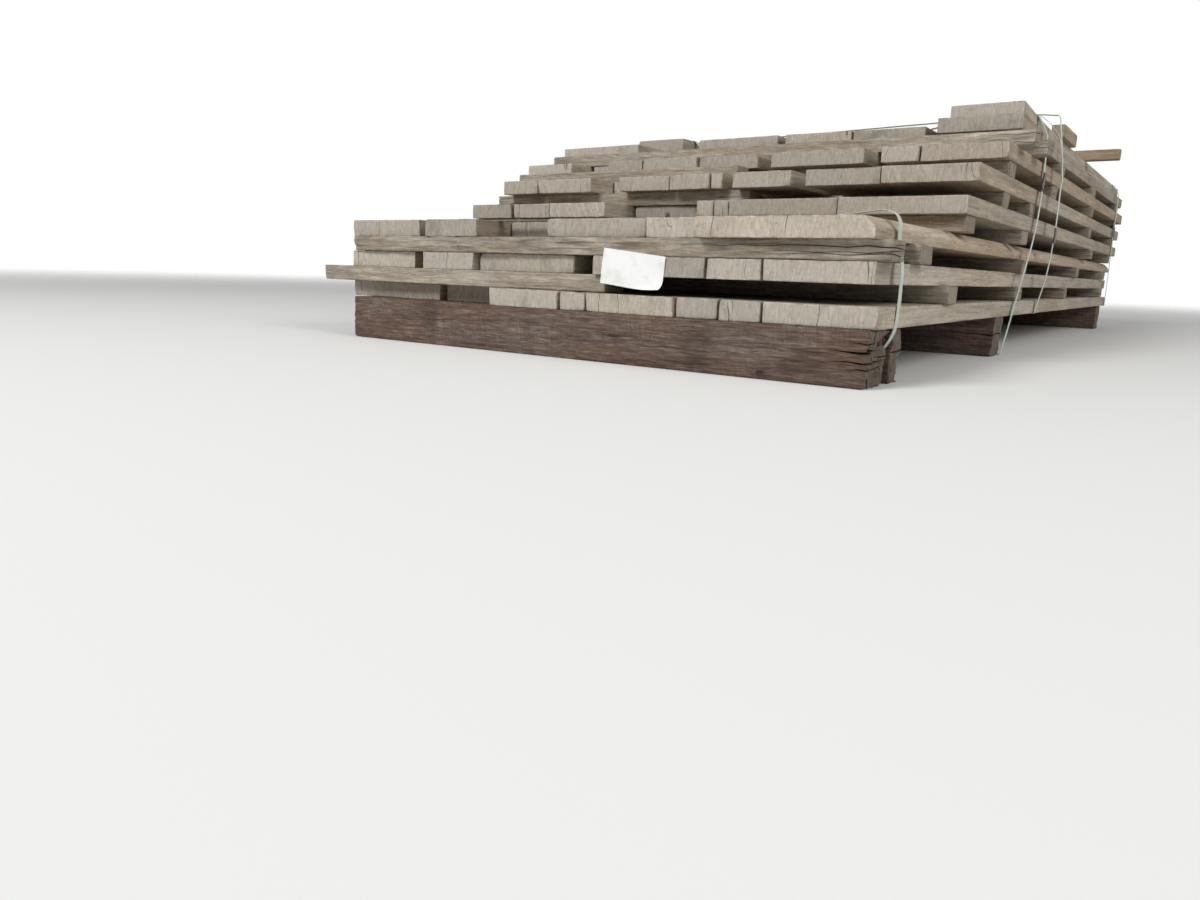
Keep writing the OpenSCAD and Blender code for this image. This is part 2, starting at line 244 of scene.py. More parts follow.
def make_end_cut():
    """A crosscut end: upright torn lines, growth rings, drying checks and a saw's strokes."""
    tree, given, result = new_group(
        "end_cut",
        {"Vector": None, "Check Width": 0.012, "Ring Gap": 0.004, "Scored": 0.0},
        ("Tears", "Rings", "Checks", "Mottle", "Kerf"),
    )
    place = given["Vector"]
    tears = noise(tree, place, (60.0, 270.0, 22.0), 5.0, 0.85)
    mottle = noise(tree, place, (30.0, 120.0, 60.0), 5.0, 0.85)
    parts = split_up(tree, place)
    bend = noise(tree, place, (0.0, 9.0, 9.0), 2.0)
    reach = maths(tree, "MULTIPLY_ADD", bend, 0.09, times(tree, parts[2], 1.6))
    reach = maths(tree, "MULTIPLY_ADD", parts[1], 0.35, reach)
    rings = maths(tree, "FRACT", maths(tree, "DIVIDE", reach, given["Ring Gap"]))
    split = off_middle(tree, noise(tree, place, (0.0, 15.0, 2.6), 2.0))
    split = maths(tree, "DIVIDE", split, given["Check Width"], clamp=True)
    here = step_up(tree, noise(tree, place, (0.0, 11.0, 9.0), 1.0), 0.6, 0.68)
    slant = maths(tree, "MULTIPLY_ADD", parts[2], 0.55, parts[1])
    kerf = put(tree, "CombineXYZ", {0: times(tree, slant, 120.0), 1: bend}).outputs[0]
    kerf = step_up(tree, noise(tree, kerf, 1.0, 1.0), 0.48, 0.66)
    results = {
        "Tears": step_up(tree, tears, 0.33, 0.67),
        "Rings": step_up(tree, rings, 0.1, 0.95),
        "Checks": times(tree, maths(tree, "SUBTRACT", 1.0, split), here),
        "Mottle": step_up(tree, mottle, 0.3, 0.7),
        "Kerf": times(tree, kerf, given["Scored"]),
    }
    feed(tree, result, results)
    return tree


def make_knots():
    """Dark knots at random places along a board, each with a wider halo round it."""
    tree, given, result = new_group(
        "board_knots", {"Vector": None, "Size": 0.012, "Share": 0.5}, ("Knot", "Halo")
    )
    per_metre, shown_length = (1.9, 5.0, 0.02), 0.65
    cells = scaled(tree, given["Vector"], per_metre)
    found = put(tree, "TexVoronoi", {"Vector": cells, "Scale": 1.0, "Randomness": 0.9}).outputs
    middle = scaled(tree, found["Position"], (1 / per_metre[0], 1 / per_metre[1], 0.0))
    flat = scaled(tree, given["Vector"], (1.0, 1.0, 0.0))
    away = scaled(tree, vectors(tree, "SUBTRACT", flat, middle), (shown_length, 1.0, 0.0))
    ragged = maths(tree, "SUBTRACT", noise(tree, given["Vector"], 90.0, 2.0), 0.5)
    reach = maths(tree, "MULTIPLY_ADD", ragged, 0.008, length_of(tree, away))
    reach = maths(tree, "DIVIDE", reach, given["Size"])
    chosen = maths(tree, "LESS_THAN", split_up(tree, found["Color"])[0], given["Share"])
    knot = times(tree, step_up(tree, reach, 0.75, 1.1, 1.0, 0.0), chosen)
    halo = times(tree, step_up(tree, reach, 0.9, 3.0, 1.0, 0.0), chosen)
    feed(tree, result, {"Knot": knot, "Halo": halo})
    return tree


def make_weathering():
    """Sawn timber's own colour greyed by sun and rain, with darker stains and specks."""
    wood, _, grey, stain = (tint(colour) for colour in BOARD_COLOURS)
    inputs = {"Vector": None, "Wood": wood, "Grey": grey, "Stain": stain}
    inputs.update({"Age": 0.7, "Streaks": 0.5, "Patches": 0.5, "Spot Length": 1.0})
    tree, given, result = new_group("weathering", inputs, ("Color",))
    short = maths(tree, "DIVIDE", 1.0, given["Spot Length"])
    long_spots = put(tree, "CombineXYZ", {0: short, 1: 1.0, 2: 1.0}).outputs[0]
    drawn = scaled(tree, given["Vector"], long_spots)
    mixed = maths(tree, "MULTIPLY_ADD", given["Patches"], 0.5, -0.25)
    mixed = maths(tree, "MULTIPLY_ADD", given["Streaks"], 0.3, mixed)
    greyed = maths(tree, "ADD", given["Age"], mixed, clamp=True)
    colour = blend(tree, greyed, given["Wood"], given["Grey"])
    specks = step_up(tree, noise(tree, drawn, 150.0, 4.0, 0.7), 0.54, 0.74)
    damp = step_up(tree, noise(tree, drawn, 9.0, 4.0, 0.65), 0.55, 0.75)
    for where, strength in ((specks, 0.5), (damp, 0.45)):
        colour = blend(tree, times(tree, where, strength), colour, given["Stain"])
    feed(tree, result, {"Color": colour})
    return tree


def make_edge_rub():
    """Where edges are rubbed pale or packed with dirt, from how near the edge a point is."""
    tree, given, result = new_group("edge_rub", {"Vector": None, "Near": 0.0}, ("Rubbed", "Dirty"))
    broken = noise(tree, given["Vector"], 45.0, 3.0, 0.6)
    rubbed = times(tree, given["Near"], step_up(tree, broken, 0.42, 0.6))
    dirty = times(tree, given["Near"], step_up(tree, broken, 0.56, 0.4))
    feed(tree, result, {"Rubbed": rubbed, "Dirty": dirty})
    return tree


GRAIN = make_grain()
SAW_MARKS = make_saw_marks()
END_CUT = make_end_cut()
KNOTS = make_knots()
WEATHERING = make_weathering()
EDGE_RUB = make_edge_rub()


# Materials


def new_material(name):
    material = bpy.data.materials.new(name)
    material.use_nodes = True
    tree = material.node_tree
    return material, tree, tree.nodes["Principled BSDF"]


def timber_facts(tree):
    """The place in the timber, its tone, warmth and end distance, and the nearness of an edge."""
    tone, warmth, from_end = split_up(tree, attribute(tree, "timber_facts"))
    near = attribute(tree, "edge_near", "Fac")
    return attribute(tree, "grain_place"), tone, warmth, from_end, near


def finish_material(tree, shader, colour, roughness, height, strength, depth):
    """Joins colour, roughness and a bump of the height to the shader."""
    feeds = {"Strength": strength, "Distance": depth, "Height": height}
    bump = put(tree, "Bump", feeds).outputs[0]
    feed(tree, shader, {"Base Color": colour, "Roughness": roughness, "Normal": bump})


def finish_timber(tree, shader, colour, roughness, heights, depth):
    """Adds up the heights, each with its share, and dulls the shine."""
    total = 0.0
    for value, share in heights:
        total = maths(tree, "MULTIPLY_ADD", value, share, total)
    finish_material(tree, shader, colour, roughness, total, 1.0, depth)
    feed(tree, shader, {"Specular IOR Level": 0.25})


def chosen_knots(tree, place, spots):
    """Dark flat knots and bare stains at given places on the front of a timber."""
    knot = halo = 0.0
    ragged = noise(tree, place, (90.0, 1.0, 200.0), 2.0)
    for x, z, wide, high, dark in spots:
        away = vectors(tree, "SUBTRACT", place, (x, 0.0, z))
        away = scaled(tree, away, (1 / wide, 12.0, 1 / high))
        reach = maths(tree, "MULTIPLY_ADD", ragged, 0.7, length_of(tree, away))
        knot = maths(tree, "MAXIMUM", knot, step_up(tree, reach, 0.9, 1.3, dark, 0.0))
        halo = maths(tree, "MAXIMUM", halo, step_up(tree, reach, 1.0, 3.0, 1.0, 0.0))
    return knot, halo


def face_material(
    name, colours, age, streak_width, saw_spacing, saw_depth, splits, rubs=0.15, torn=0.1, spots=()
):
    """A sawn long face of timber."""
    material, tree, shader = new_material(name)
    wood, warm_wood, grey, stain = (tint(colour) for colour in colours)
    place, tone, warmth, from_end, near = timber_facts(tree)
    grain = placed(tree, GRAIN, {"Vector": place, "Streak Width": streak_width})
    saw = placed(tree, SAW_MARKS, {"Vector": place, "Spacing": saw_spacing})
    rub = placed(tree, EDGE_RUB, {"Vector": place, "Near": near})
    feeds = {
        "Vector": place,
        "Wood": blend(tree, warmth, wood, warm_wood),
        "Grey": grey,
        "Stain": stain,
        "Age": maths(tree, "MULTIPLY_ADD", warmth, -0.45, age + 0.2),
        "Streaks": grain["Streaks"],
        "Patches": grain["Patches"],
        "Spot Length": 11.0,
    }
    colour = placed(tree, WEATHERING, feeds)["Color"]
    marks = times(tree, saw["Marks"], saw["Where"])
    colour = shade(
        tree,
        colour,
        (grain["Streaks"], 0.84, 1.12),
        (grain["Fibres"], 0.84, 1.12),
        (marks, 1.0 - 0.1 * saw_depth, 1.0 + 0.12 * saw_depth),
    )
    if spots:
        knot, halo = chosen_knots(tree, place, spots)
    else:
        knot, halo = placed(tree, KNOTS, {"Vector": place})
    colour = blend(tree, times(tree, halo, 0.35), colour, stain)
    colour = blend(tree, times(tree, knot, 0.8), colour, tint(KNOT_COLOUR))
    colour = shade(
        tree,
        colour,
        (grain["Pale Rubs"], 1.0, 1.0 + rubs),
        (grain["Torn"], 1.0 - torn, 1.0 + 0.7 * torn),
    )
    colour = blend(tree, times(tree, grain["Splits"], splits), colour, tint(SPLIT_COLOUR))
    colour = shade(
        tree,
        colour,
        (tone, 0.8, 1.14),
        (step_up(tree, from_end, 0.0, 0.1), 0.9, 1.0),
        (rub["Rubbed"], 1.0, 1.16),
        (rub["Dirty"], 1.0, 0.7),
    )
    roughness = step_up(tree, grain["Fibres"], 0.0, 1.0, 0.95, 0.78)
    heights = [(grain["Fibres"], 0.5), (grain["Streaks"], 0.5), (marks, saw_depth), (knot, -0.3)]
    heights += [(grain["Splits"], -1.6 * splits), (grain["Torn"], 3.0 * torn)]
    finish_timber(tree, shader, colour, roughness, heights, 0.0012)
    return material


def end_material(name, colours, age, check_width):
    """A crosscut end of timber, rougher and greyer than the long faces."""
    material, tree, shader = new_material(name)
    wood, grey, stain = (tint(colour) for colour in colours)
    place, tone, warmth, _, near = timber_facts(tree)
    scored = attribute(tree, "end_scored", "Fac")
    cut = placed(tree, END_CUT, {"Vector": place, "Check Width": check_width, "Scored": scored})
    rub = placed(tree, EDGE_RUB, {"Vector": place, "Near": near})
    feeds = {
        "Vector": place,
        "Wood": wood,
        "Grey": grey,
        "Stain": stain,
        "Age": maths(tree, "MULTIPLY_ADD", warmth, -0.4, age + 0.15),
        "Streaks": cut["Tears"],
        "Patches": cut["Mottle"],
    }
    colour = placed(tree, WEATHERING, feeds)["Color"]
    colour = shade(
        tree,
        colour,
        (cut["Tears"], 0.87, 1.1),
        (cut["Mottle"], 0.88, 1.09),
        (cut["Rings"], 0.97, 1.02),
        (cut["Kerf"], 1.0, 1.2),
        (tone, 0.8, 1.13),
        (rub["Rubbed"], 1.0, 1.15),
        (rub["Dirty"], 1.0, 0.66),
    )
    colour = blend(tree, times(tree, cut["Checks"], 0.85), colour, tint(CHECK_COLOUR))
    roughness = step_up(tree, cut["Mottle"], 0.0, 1.0, 0.97, 0.86)
    heights = [(cut["Tears"], 0.8), (cut["Mottle"], 0.3), (cut["Checks"], -1.2), (cut["Kerf"], 0.5)]
    finish_timber(tree, shader, colour, roughness, heights, 0.0009)
    return material


def strap_material():
    """Pale green plastic band, pressed with a fine waffle and dulled by dust."""
    material, tree, shader = new_material("strap_band_plastic")
    place = attribute(tree, "grain_place")
    parts = split_up(tree, place)
    waffle_pitch = 2600.0
    waves = []
    for way in ("ADD", "SUBTRACT"):
        slant = maths(tree, way, parts[0], parts[1])
        waves.append(maths(tree, "SINE", times(tree, slant, waffle_pitch)))
    waffle = step_up(tree, times(tree, *waves), -0.6, 0.6)
    dust = step_up(tree, noise(tree, place, (8.0, 60.0, 1.0), 4.0, 0.65), 0.4, 0.7)
    long_lines = noise(tree, place, (2.0, 700.0, 1.0), 1.0)
    colour = blend(tree, dust, tint(STRAP_COLOUR), tint(DUST_COLOUR))
    colour = shade(tree, colour, (waffle, 0.9, 1.06), (long_lines, 0.9, 1.08))
    roughness = step_up(tree, dust, 0.0, 1.0, 0.32, 0.62)
    finish_material(tree, shader, colour, roughness, waffle, 0.6, 0.0002)
    return material


def seal_material():
    """Dark steel of the folded seals, scratched along the strap and rusty in places."""
    material, tree, shader = new_material("seal_dark_steel")
    place = attribute(tree, "grain_place")
    lines = noise(tree, place, (60.0, 2500.0, 2500.0), 3.0, 0.6)
    rust = step_up(tree, noise(tree, place, 240.0, 4.0, 0.7), 0.52, 0.7)
    colour = shade(tree, tint(STEEL_COLOUR), (lines, 0.7, 1.25))
    colour = blend(tree, rust, colour, tint(RUST_COLOUR))
    feed(tree, shader, {"Metallic": maths(tree, "MULTIPLY_ADD", rust, -0.5, 0.55)})
    height = maths(tree, "MULTIPLY_ADD", rust, 0.8, times(tree, lines, 0.4))
    roughness = step_up(tree, rust, 0.0, 1.0, 0.46, 0.8)
    finish_material(tree, shader, colour, roughness, height, 0.7, 0.0002)
    return material


def paper_material():
    """Bare white paper, a little damp stained and cockled."""
    material, tree, shader = new_material("label_bare_paper")
    place = attribute(tree, "grain_place")
    cloud = noise(tree, place, 28.0)
    fleck = noise(tree, place, 1400.0, 2.0, 0.6)
    damp = step_up(tree, cloud, 0.45, 0.75)
    colour = blend(tree, damp, tint(PAPER_COLOUR), tint(DAMP_COLOUR))
    colour = shade(tree, colour, (fleck, 0.96, 1.03))
    height = maths(tree, "MULTIPLY_ADD", cloud, 6.0, times(tree, fleck, 0.3))
    roughness = step_up(tree, fleck, 0.3, 0.7, 0.55, 0.75)
    finish_material(tree, shader, colour, roughness, height, 0.5, 0.0004)
    return material


# Knots and stains on the front bearer: distance from its left end, height, half width, half
# height, and 1 for a dark knot or 0 for a stain
FRONT_SPOTS = (
    (0.8488, 0.0595, 0.02, 0.0055, 1.0),
    (1.1921, 0.012, 0.013, 0.006, 1.0),
    (1.2735, 0.0336, 0.03, 0.01, 0.0),
    (1.0516, 0.0546, 0.018, 0.03, 0.0),
    (0.2885, 0.0813, 0.018, 0.03, 0.0),
)
# Age, streak width, saw spacing, saw depth, splits, and where given pale rubs and torn grain
BOARD_WEAR = (0.55, 0.022, 0.006, 0.9, 0.22)
STICK_WEAR = (0.66, 0.01, 0.007, 0.5, 0.45, 0.2, 0.22)
BEARER_WEAR = (0.42, 0.009, 0.006, 1.0, 0.6, 0.4, 0.42)
BATTEN_WEAR = (0.45, 0.014, 0.006, 0.7, 0.3)

board_face = face_material("weathered_board_face", BOARD_COLOURS, *BOARD_WEAR)
board_end = end_material("weathered_board_end", BOARD_END_COLOURS, 0.78, 0.005)
stick_face = face_material("weathered_stick_face", STICK_COLOURS, *STICK_WEAR)
stick_end = end_material("weathered_stick_end", STICK_END_COLOURS, 0.7, 0.008)
front_bearer_face = face_material("front_bearer_face", BEARER_COLOURS, *BEARER_WEAR, FRONT_SPOTS)
bearer_face = face_material("coarse_bearer_face", BEARER_COLOURS, *BEARER_WEAR)
bearer_end = end_material("checked_bearer_end", BEARER_END_COLOURS, 0.55, 0.014)
batten_face = face_material("warm_batten_face", BATTEN_COLOURS, *BATTEN_WEAR)
strap_band = strap_material()
seal_steel = seal_material()
bare_paper = paper_material()


# Mesh helpers

# Where a timber is cut near its ends and near its long edges
END_CUTS = np.array([0, 0.0014, 0.004, 0.01, 0.022, 0.045, 0.085, 0.14, 0.21])
EDGE_CUTS = END_CUTS[:3]
EDGE_BAND = 0.0041
# Cuts beside the middle line of a crack, and the room that a crack needs
CRACK_CUT, CRACK_ROOM = 0.001, 0.0055


def ripple(points, seed, size):
    """Smooth seeded noise from about -1 to 1, its bumps about size metres apart."""
    rng = np.random.default_rng(seed)
    total = np.zeros(len(points))
    waves = 6
    for _ in range(waves):
        way = rng.normal(size=3)
        way *= 2 * np.pi / size * rng.uniform(0.5, 1.6) / np.linalg.norm(way)
        total += np.sin(points @ way + rng.uniform(0, 2 * np.pi))
    return total / waves * 1.5


def grid_quads(number):
    """Quads between the numbered points of a grid."""
    quads = np.stack([number[:-1, :-1], number[1:, :-1], number[1:, 1:], number[:-1, 1:]], -1)
    return quads.reshape(-1, 4)


def box_lattice(cuts):
    """Surface points and outward quads of a box cut at the given places along its three sides."""
    counts = [len(c) for c in cuts]
    grids = np.meshgrid(*[np.arange(n) for n in counts], indexing="ij")
    skin = np.zeros(counts, bool)
    for axis, grid in enumerate(grids):
        skin |= (grid == 0) | (grid == counts[axis] - 1)
    number = np.full(counts, -1)
    number[skin] = np.arange(skin.sum())
    points = np.stack([cuts[a][grids[a][skin]] for a in range(3)], 1)
    quads, at_end = [], []
    for axis in range(3):
        for last in (0, 1):
            quad = grid_quads(np.take(number, last * (counts[axis] - 1), axis=axis))
            quads.append(quad[:, ::-1] if bool(last) != (axis != 1) else quad)
            at_end.append(np.full(len(quad), axis == 0))
    return points, np.concatenate(quads), np.concatenate(at_end)


def rounded_box(points, flat, size, radius):
    """Pulls points near a box's edges in to a radius. Flat are their places on the sharp box."""
    out = flat - np.clip(flat, radius, size - radius)
    length = np.linalg.norm(out, axis=1)[:, None]
    pull = np.where(length > radius, radius / np.maximum(length, 1e-9), 1.0)
    return points + out * (pull - 1)


def cuts_between(length, spacing, edge):
    """Places to cut a side: close together near both its edges, evenly spaced between them."""
    count = max(1, round((length - 2 * edge[-1]) / spacing))
    inner = np.linspace(edge[-1], length - edge[-1], count + 1)
    return np.unique(np.concatenate([edge, inner, length - edge]).round(6))


def with_cracks(cuts, places):
    """Adds three close cuts for each crack and drops the even cuts beside it."""
    for place in places:
        at_edge = (cuts < EDGE_BAND) | (cuts > cuts[-1] - EDGE_BAND)
        cuts = cuts[(np.abs(cuts - place) > CRACK_ROOM) | at_edge]
        cuts = np.concatenate([cuts, [place - CRACK_CUT, place, place + CRACK_CUT]])
    return np.unique(cuts.round(6))


class Crack(namedtuple("Crack", "lying place far length half sink seed")):
    """A drying crack that starts at one end. A standing one runs up, a lying one runs across."""

    def open_up(self, points, flat, size):
        """Moves the cut lines of the crack apart and its middle line inward."""
        side, up = (2, 1) if self.lying else (1, 2)
        rng = np.random.default_rng(self.seed)
        from_end = size[0] - flat[:, 0] if self.far else flat[:, 0]
        opened = np.clip(1 - from_end / self.length, 0, 1) ** 0.7
        wave, start = rng.uniform(20, 45), rng.uniform(0, 6)
        sway = 0.0016 * np.sin(flat[:, 0] * wave * 2 + start)
        sway = sway + 0.0022 * np.sin(flat[:, up] / size[up] * rng.uniform(2, 5) + start * 2)
        reach = rng.uniform(0.55, 1.6)
        from_top = flat[:, up] / size[up] if rng.random() < 0.5 else 1 - flat[:, up] / size[up]
        through = np.clip((reach - from_top) * 4, 0.0, 1.0)
        offset = flat[:, side] - self.place
        line = np.abs(offset) < CRACK_CUT * 1.1
        gap = (0.0002 + self.half * opened * through) * np.sign(np.round(offset, 5))
        points[line, side] = (self.place + gap + sway)[line]
        middle = np.abs(offset) < CRACK_CUT * 0.3
        inward = np.minimum(self.length * 0.5, self.sink) * through * opened
        cap = middle & (from_end < 1e-6)
        points[cap, 0] += (inward * (-1 if self.far else 1))[cap]
        for level, way in ((0, 1), (size[up], -1)):
            face = middle & (np.abs(flat[:, up] - level) < 1e-6)
            points[face, up] += (np.minimum(inward, size[up] * 0.3) * way)[face]


def random_cracks(rng, width, length):
    """Standing cracks at both ends of a board, at random places across it."""
    per_metre = 3.2
    cracks = []
    for far in (False, True):
        taken = []
        for _ in range(rng.poisson(width * per_metre)):
            place = round(rng.uniform(0.014, max(0.015, width - 0.014)), 4)
            if place <= width - 0.012 and all(abs(place - t) >= 0.013 for t in taken):
                taken.append(place)
        for place in taken:
            if all(abs(place - c.place) >= 0.008 for c in cracks):
                run = min(length * 0.3, rng.uniform(0.03, 0.28))
                half = rng.uniform(0.0001, 0.0007)
                cracks.append(Crack(False, place, far, run, half, 0.014, rng.integers(1 << 30)))
    return cracks


class Timber:
    """One sawn timber: points in its own frame (along, across, up) and what materials read.

    Wear is the usual radius of its edges, slack how much narrower and thinner it may be, and
    wane how far in and how far down its far top edge is cut off by the shape of the log.
    """

    def __init__(self, low, high, run_y, seed, spacing, wear, cracks, slack, skew=0.012, wane=None):
        rng = np.random.default_rng(seed)
        self.low, self.run_y = low, run_y
        self.size = size = (high - low)[[1, 0, 2]] if run_y else high - low
        cuts = [cuts_between(size[0], spacing[0], END_CUTS if size[0] > 0.5 else END_CUTS[:6])]
        for side in (1, 2):
            own = [crack.place for crack in cracks if crack.lying == (side == 2)]
            cuts.append(with_cracks(cuts_between(size[side], spacing[side], EDGE_CUTS), own))
        if wane:
            steps = size[1] - wane[0] * np.array([1, 0.85, 0.68, 0.5, 0.3])
            kept = cuts[1][(cuts[1] < size[1] - wane[0]) | (cuts[1] > size[1] - EDGE_BAND)]
            cuts[1] = np.unique(np.concatenate([kept, steps]).round(6))
        self.flat, self.quads, self.at_end = box_lattice(cuts)
        self.points = self.flat.copy()
        for crack in cracks:
            crack.open_up(self.points, self.flat, size)
        self.round_edges(rng, wear)
        if wane:
            share = np.clip((self.flat[:, 1] - size[1] + wane[0]) / wane[0], 0, 1)
            uneven = 0.85 + 0.15 * ripple(self.flat * (1, 0, 0), seed + 5, 0.5)
            self.points[:, 2] -= wane[1] * share**1.5 * uneven * self.flat[:, 2] / size[2]
        self.skew_ends(rng, skew)
        self.warp(rng, *slack)
        gaps = np.sort(np.minimum(self.flat, size - self.flat), axis=1)
        self.near = np.exp(-((gaps[:, 1] / 0.0019) ** 2))
        self.place = self.flat + rng.uniform(0, 40, 3)
        self.tone = np.clip(rng.normal(0.5, 0.24), 0, 1)
        self.warmth = np.clip(rng.normal(0.3, 0.28), 0, 1)
        self.scored = 0.5 * (rng.random() < 0.1)

    def from_end(self, far):
        return self.size[0] - self.flat[:, 0] if far else self.flat[:, 0]

    def round_edges(self, rng, wear):
        """Rounds all edges unevenly and more at a few dented spots."""
        size = self.size
        radius = wear * (1.1 + 0.6 * ripple(self.flat, rng.integers(1 << 30), 0.05))
        for _ in range(rng.poisson(2 + size[0] * 2.0)):
            along = rng.choice([0.0, size[0], rng.uniform(0, size[0])])
            spot = [along, rng.choice([0.0, size[1]]), rng.choice([0.0, size[2]])]
            reach = rng.uniform(0.006, 0.022)
            apart = ((self.flat - spot) ** 2).sum(1)
            radius += rng.uniform(0.0008, 0.0034) * np.exp(-apart / reach**2)
        radius = np.minimum(radius, size.min() * 0.42)[:, None]
        self.points = rounded_box(self.points, self.flat, size, radius)

    def skew_ends(self, rng, skew):
        """Cuts both ends a little out of square."""
        for far in (False, True):
            turn, lean = rng.normal(0, skew), rng.normal(0, skew * 2)
            across = self.flat[:, 1] if turn > 0 else self.size[1] - self.flat[:, 1]
            up = self.flat[:, 2] if lean > 0 else self.size[2] - self.flat[:, 2]
            back = np.minimum(abs(turn), 0.03) * across + np.minimum(abs(lean), 0.06) * up
            back += 0.0007 * (1 + ripple(self.flat * (0, 1, 0.3), rng.integers(1 << 30), 0.02))
            share = np.clip(1 - self.from_end(far) / 0.12, 0, 1)
            self.points[:, 0] += back * share * (-1 if far else 1)

    def warp(self, rng, side, thick):
        """Makes the timber a little narrower, thinner and crooked, and its top hollow."""
        # The second draw isn't used. It keeps the draws after it in their order.
        wave, _ = rng.uniform(0.8, 2.2), rng.uniform(0.5, 1.5)
        lost = side * rng.uniform(0.35, 1.0)
        self.points[:, 1] *= (self.size[1] - lost) / self.size[1]
        self.points[:, 1] += lost * (0.5 + 0.5 * np.sin(self.flat[:, 0] * wave + rng.uniform(0, 6)))
        lost = thick * rng.uniform(0.35, 1.0)
        self.points[:, 2] *= (self.size[2] - lost) / self.size[2]
        cup = ((2 * self.flat[:, 1] / self.size[1] - 1) ** 2) * rng.uniform(0, 0.6)
        self.points[:, 2] += lost * cup * self.flat[:, 2] / self.size[2]

    def placed(self):
        """Points in the pack's frame, and quads that still face outward."""
        if self.run_y:
            return self.points[:, [1, 0, 2]] + self.low, self.quads[:, ::-1]
        return self.points + self.low, self.quads

    def facts(self):
        """Tone, warmth and the distance from the nearer end at each point."""
        end = np.minimum(self.from_end(False), self.from_end(True))
        tone = np.broadcast_to(self.tone, len(end))
        return np.stack([tone, np.full(len(end), self.warmth), end], 1)


def solids_of(node):
    """Lowest and highest corners of a CAD node's separate solids, from left to right."""
    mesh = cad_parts[node].data
    corners = np.empty(len(mesh.vertices) * 3, np.float32)
    mesh.vertices.foreach_get("co", corners)
    corners = corners.reshape(-1, 3).astype(float)
    ties = np.empty(len(mesh.edges) * 2, np.int32)
    mesh.edges.foreach_get("vertices", ties)
    _, same = np.unique(corners.round(5), axis=0, return_inverse=True)
    same = same.reshape(-1)
    ties = same[ties].reshape(-1, 2)
    label, before = np.arange(same.max() + 1), None
    while before is None or (before != label).any():
        before = label.copy()
        lowest = np.minimum(label[ties[:, 0]], label[ties[:, 1]])
        np.minimum.at(label, ties[:, 0], lowest)
        np.minimum.at(label, ties[:, 1], lowest)
    own = [corners[label[same] == one] for one in np.unique(label[same])]
    found = [(part.min(0), part.max(0)) for part in own]
    return sorted(found, key=lambda s: (round(s[0][0], 3), round(s[0][1], 3)))


def joined(parts):
    """Points and quads of several meshes as one."""
    starts = np.cumsum([0] + [len(points) for points, _ in parts])
    quads = [own + start for (_, own), start in zip(parts, starts)]
    return np.concatenate([points for points, _ in parts]), np.concatenate(quads)


def make_piece(name, node, slot, points, quads, materials, facts, at_end=None, smooth_angle=38):
    """A visible piece that stands for a CAD node. Facts are what its materials read."""
    mesh = bpy.data.meshes.new(name)
    mesh.from_pydata(points.tolist(), [], quads.tolist())
    for material in materials:
        mesh.materials.append(material)
    if at_end is not None:
        mesh.polygons.foreach_set("material_index", at_end.astype(np.int32))
    mesh.polygons.foreach_set("use_smooth", np.ones(len(quads), bool))
    mesh.set_sharp_from_angle(angle=math.radians(smooth_angle))
    mesh.validate()
    for label, values in facts.items():
        kind, field = ("FLOAT_VECTOR", "vector") if values.ndim == 2 else ("FLOAT", "value")
        made = mesh.attributes.new(label, kind, "POINT")
        made.data.foreach_set(field, values.astype(np.float32).ravel())
    piece = bpy.data.objects.new(name, mesh)
    bpy.context.scene.collection.objects.link(piece)
    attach(piece, "root")
    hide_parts(node)


def join_timbers(name, node, slot, timbers, face, end):
    """One piece from all the timbers of a CAD node, with a face and an end material."""
    facts = {
        "grain_place": np.concatenate([t.place for t in timbers]),
        "timber_facts": np.concatenate([t.facts() for t in timbers]),
        "edge_near": np.concatenate([t.near for t in timbers]),
        "end_scored": np.concatenate([np.full(len(t.near), t.scored) for t in timbers]),
    }
    at_end = np.concatenate([t.at_end for t in timbers])
    make_piece(name, node, slot, *joined([t.placed() for t in timbers]), [face, end], facts, at_end)


# Boards

# Boards whose right top edge is rounded by the shape of the log: how far in and how far down
WANES = {
    ("course_3", 5): (0.027, 0.028),
    ("course_5", 0): (0.012, 0.01),
    ("course_6", 4): (0.01, 0.012),
}
# Boards at the top right whose front ends have sprung up, how far, and their tones. The upper one
# lies on the lower one. The bend starts at one place and dies out over its length.
SPRUNG = {("course_7", 5): (0.018, 0.2), ("top_boards", 1): (0.0205, 0.78)}
SPRING_START, SPRING_LENGTH = 0.041, 0.66
# The board whose front end shows pale slanting saw strokes
SCORED_END = ("course_4", 2)


def board_course(name, node, seed):
    timbers = []
    for i, (low, high) in enumerate(solids_of(node)):
        rng = np.random.default_rng(seed * 100 + i)
        width = high[0] - low[0]
        cracks = random_cracks(rng, width, high[1] - low[1])
        wane = WANES.get((node, i))
        if wane:
            cracks = [c for c in cracks if c.place < width - wane[0] - 0.006]
        wear = rng.uniform(0.0007, 0.0016)
        spacing, slack = (0.09, 0.024, 0.0085), (0.0012, 0.0013)
        timber = Timber(low, high, True, seed * 1000 + i, spacing, wear, cracks, slack, wane=wane)
        if (node, i) == SCORED_END:
            timber.scored = 1.0
        if (node, i) in SPRUNG:
            rise, timber.tone = SPRUNG[node, i]
            share = 1 - (timber.flat[:, 0] + low[1] - SPRING_START) / SPRING_LENGTH
            timber.points[:, 2] += rise * np.clip(share, 0, 1) ** 1.6
        timbers.append(timber)
    join_timbers(name, node, "board_wood", timbers, board_face, board_end)


for number in range(1, 8):
    board_course(f"course_{number}_boards", f"course_{number}", number)
board_course("top_board_pair", "top_boards", 8)


# Stickers


